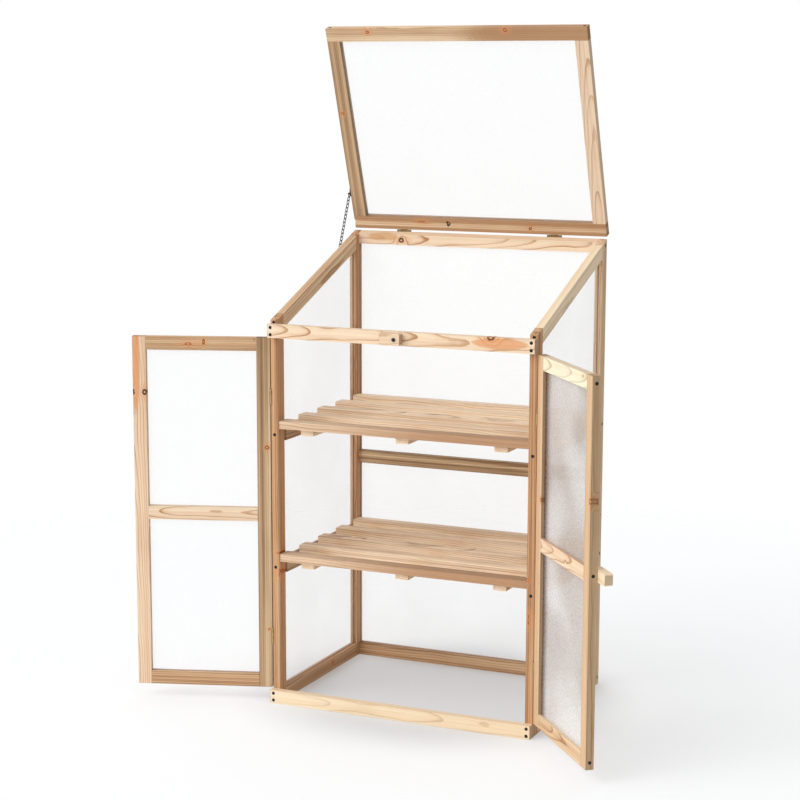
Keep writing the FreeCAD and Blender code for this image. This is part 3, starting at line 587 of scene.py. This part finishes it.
def pale_floor():
    mesh = bpy.data.meshes.new("floor")
    signs = [(-1, -1), (1, -1), (1, 1), (-1, 1)]
    corners = [(x * FLOOR_HALF, y * FLOOR_HALF, 0) for x, y in signs]
    mesh.from_pydata(corners, [], [(0, 1, 2, 3)])
    floor = bpy.data.objects.new("floor", mesh)
    bpy.context.scene.collection.objects.link(floor)
    graph = Look("floor")
    grain = graph.noise(graph.place, 3.0, 2.0)
    away = graph.distance(graph.place, MIDDLE_OF_PART)
    colour = graph.mix(FLOOR_PALE, FLOOR_PALEST, grain)
    # Painted shadow: the floor colour is greyer under the part
    colour = graph.mix(FLOOR_PAINTED_SHADOW, colour, away.step(*UNDER_PART))
    surface = graph.surface(
        Base_Color=colour,
        Roughness=0.9 + grain * 0.05,
        Alpha=away.fade(*FADING),
        Specular_IOR_Level=0.1,
    )
    # Painted light: for camera rays only the floor glows white, which lightens the shadows cast on
    # it; under the part it glows less, which keeps the painted shadow there
    seen = graph.light_path("Is Camera Ray") * away.step(*UNDER_PART, 0.12, 0.50)
    glow = graph.node("ShaderNodeEmission", {"Strength": 1.0}, "Emission")
    mesh.materials.append(graph.show(graph.blend(surface, glow, seen * away.fade(*FADING))))
    floor.location.z = -FLOOR_DROP


pale_floor()

# White surroundings: full white where seen, softer where they light, and there a little stronger
# from the upper left
WHITE = (1.0, 1.0, 1.0, 1.0)
SKY = (0.94, 0.97, 1.0, 1.0)
LIGHT_SIDE = (-0.52, -0.76, 0.38)
LIGHT_LEAN = 0.34
LIGHT_LEVEL = 0.70


def white_surroundings():
    world = bpy.data.worlds.new("surroundings")
    bpy.context.scene.world = world
    world.use_nodes = True
    graph = Graph(world.node_tree)
    lean = graph.dot(graph.node("ShaderNodeTexCoord", {}, "Generated"), LIGHT_SIDE)
    sockets = {0: lean, 1: LIGHT_LEAN, 2: LIGHT_LEVEL}
    level = graph.node("ShaderNodeMath", sockets, "Value", operation="MULTIPLY_ADD")
    lit = graph.node("ShaderNodeBackground", {"Color": SKY, "Strength": level}, "Background")
    seen = graph.node("ShaderNodeBackground", {"Color": WHITE}, "Background")
    rays = graph.light_path("Is Camera Ray"), graph.light_path("Is Transmission Ray")
    shader = graph.blend(lit, seen, graph.maths("MAXIMUM", *rays))
    graph.make("ShaderNodeOutputWorld", {"Surface": shader})


white_surroundings()


def lamp(name, kind, power, colour, at, towards, **settings):
    """A lamp of any kind that shines along a direction."""
    light = bpy.data.lights.new(name, kind)
    light.energy = power
    light.color = colour
    for key, value in settings.items():
        setattr(light, key, value)
    made = bpy.data.objects.new(name, light)
    bpy.context.scene.collection.objects.link(made)
    made.location = at
    made.rotation_euler = Vector(towards).to_track_quat("-Z", "Y").to_euler()


GLOW_AT = Vector((-2.6, -3.6, 3.4))
GLOW_TARGET = Vector((0, 0.2, 0.6))
lamp("key", "SUN", 0.95, (1.0, 0.98, 0.95), (0, 0, 0), (0.52, 0.62, -0.56), angle=radians(50.0))
lamp("fill", "SUN", 0.35, (1.0, 1.0, 1.0), (0, 0, 0), (0.30, -0.80, -0.50), angle=radians(60.0))
square = {"shape": "SQUARE", "size": 1.6}
lamp("glow", "AREA", 30.0, (1.0, 1.0, 1.0), GLOW_AT, GLOW_TARGET - GLOW_AT, **square)

# Camera at the photograph's place
YAW = radians(25.714)
PITCH = radians(-10.423)
ROLL = radians(0.216)
CAMERA_AT = Vector((1.6894, -3.8195, 1.3582))
PICTURE = 800.0
FOCAL = 2119.9
OPTICAL_CENTRE = (330.9, 437.0)
SENSOR = 36.0
FARTHEST = 100.0
forward = Vector((-sin(YAW) * cos(PITCH), cos(YAW) * cos(PITCH), sin(PITCH)))
right = Vector((cos(YAW), sin(YAW), 0.0))
up = right.cross(forward)
turn = Matrix.Rotation(ROLL, 3, forward)
right = turn @ right
up = turn @ up
camera_data = bpy.data.cameras.new("camera")
camera_data.sensor_width = SENSOR
camera_data.lens = FOCAL * SENSOR / PICTURE
camera_data.shift_x = (PICTURE / 2 - OPTICAL_CENTRE[0]) / PICTURE
camera_data.shift_y = (OPTICAL_CENTRE[1] - PICTURE / 2) / PICTURE
camera_data.clip_end = FARTHEST
camera = bpy.data.objects.new("camera", camera_data)
bpy.context.scene.collection.objects.link(camera)
pose = Matrix((right, up, -forward)).transposed().to_4x4()
pose.translation = CAMERA_AT
camera.matrix_world = pose
bpy.context.scene.camera = camera
bpy.context.scene.view_settings.view_transform = "Standard"
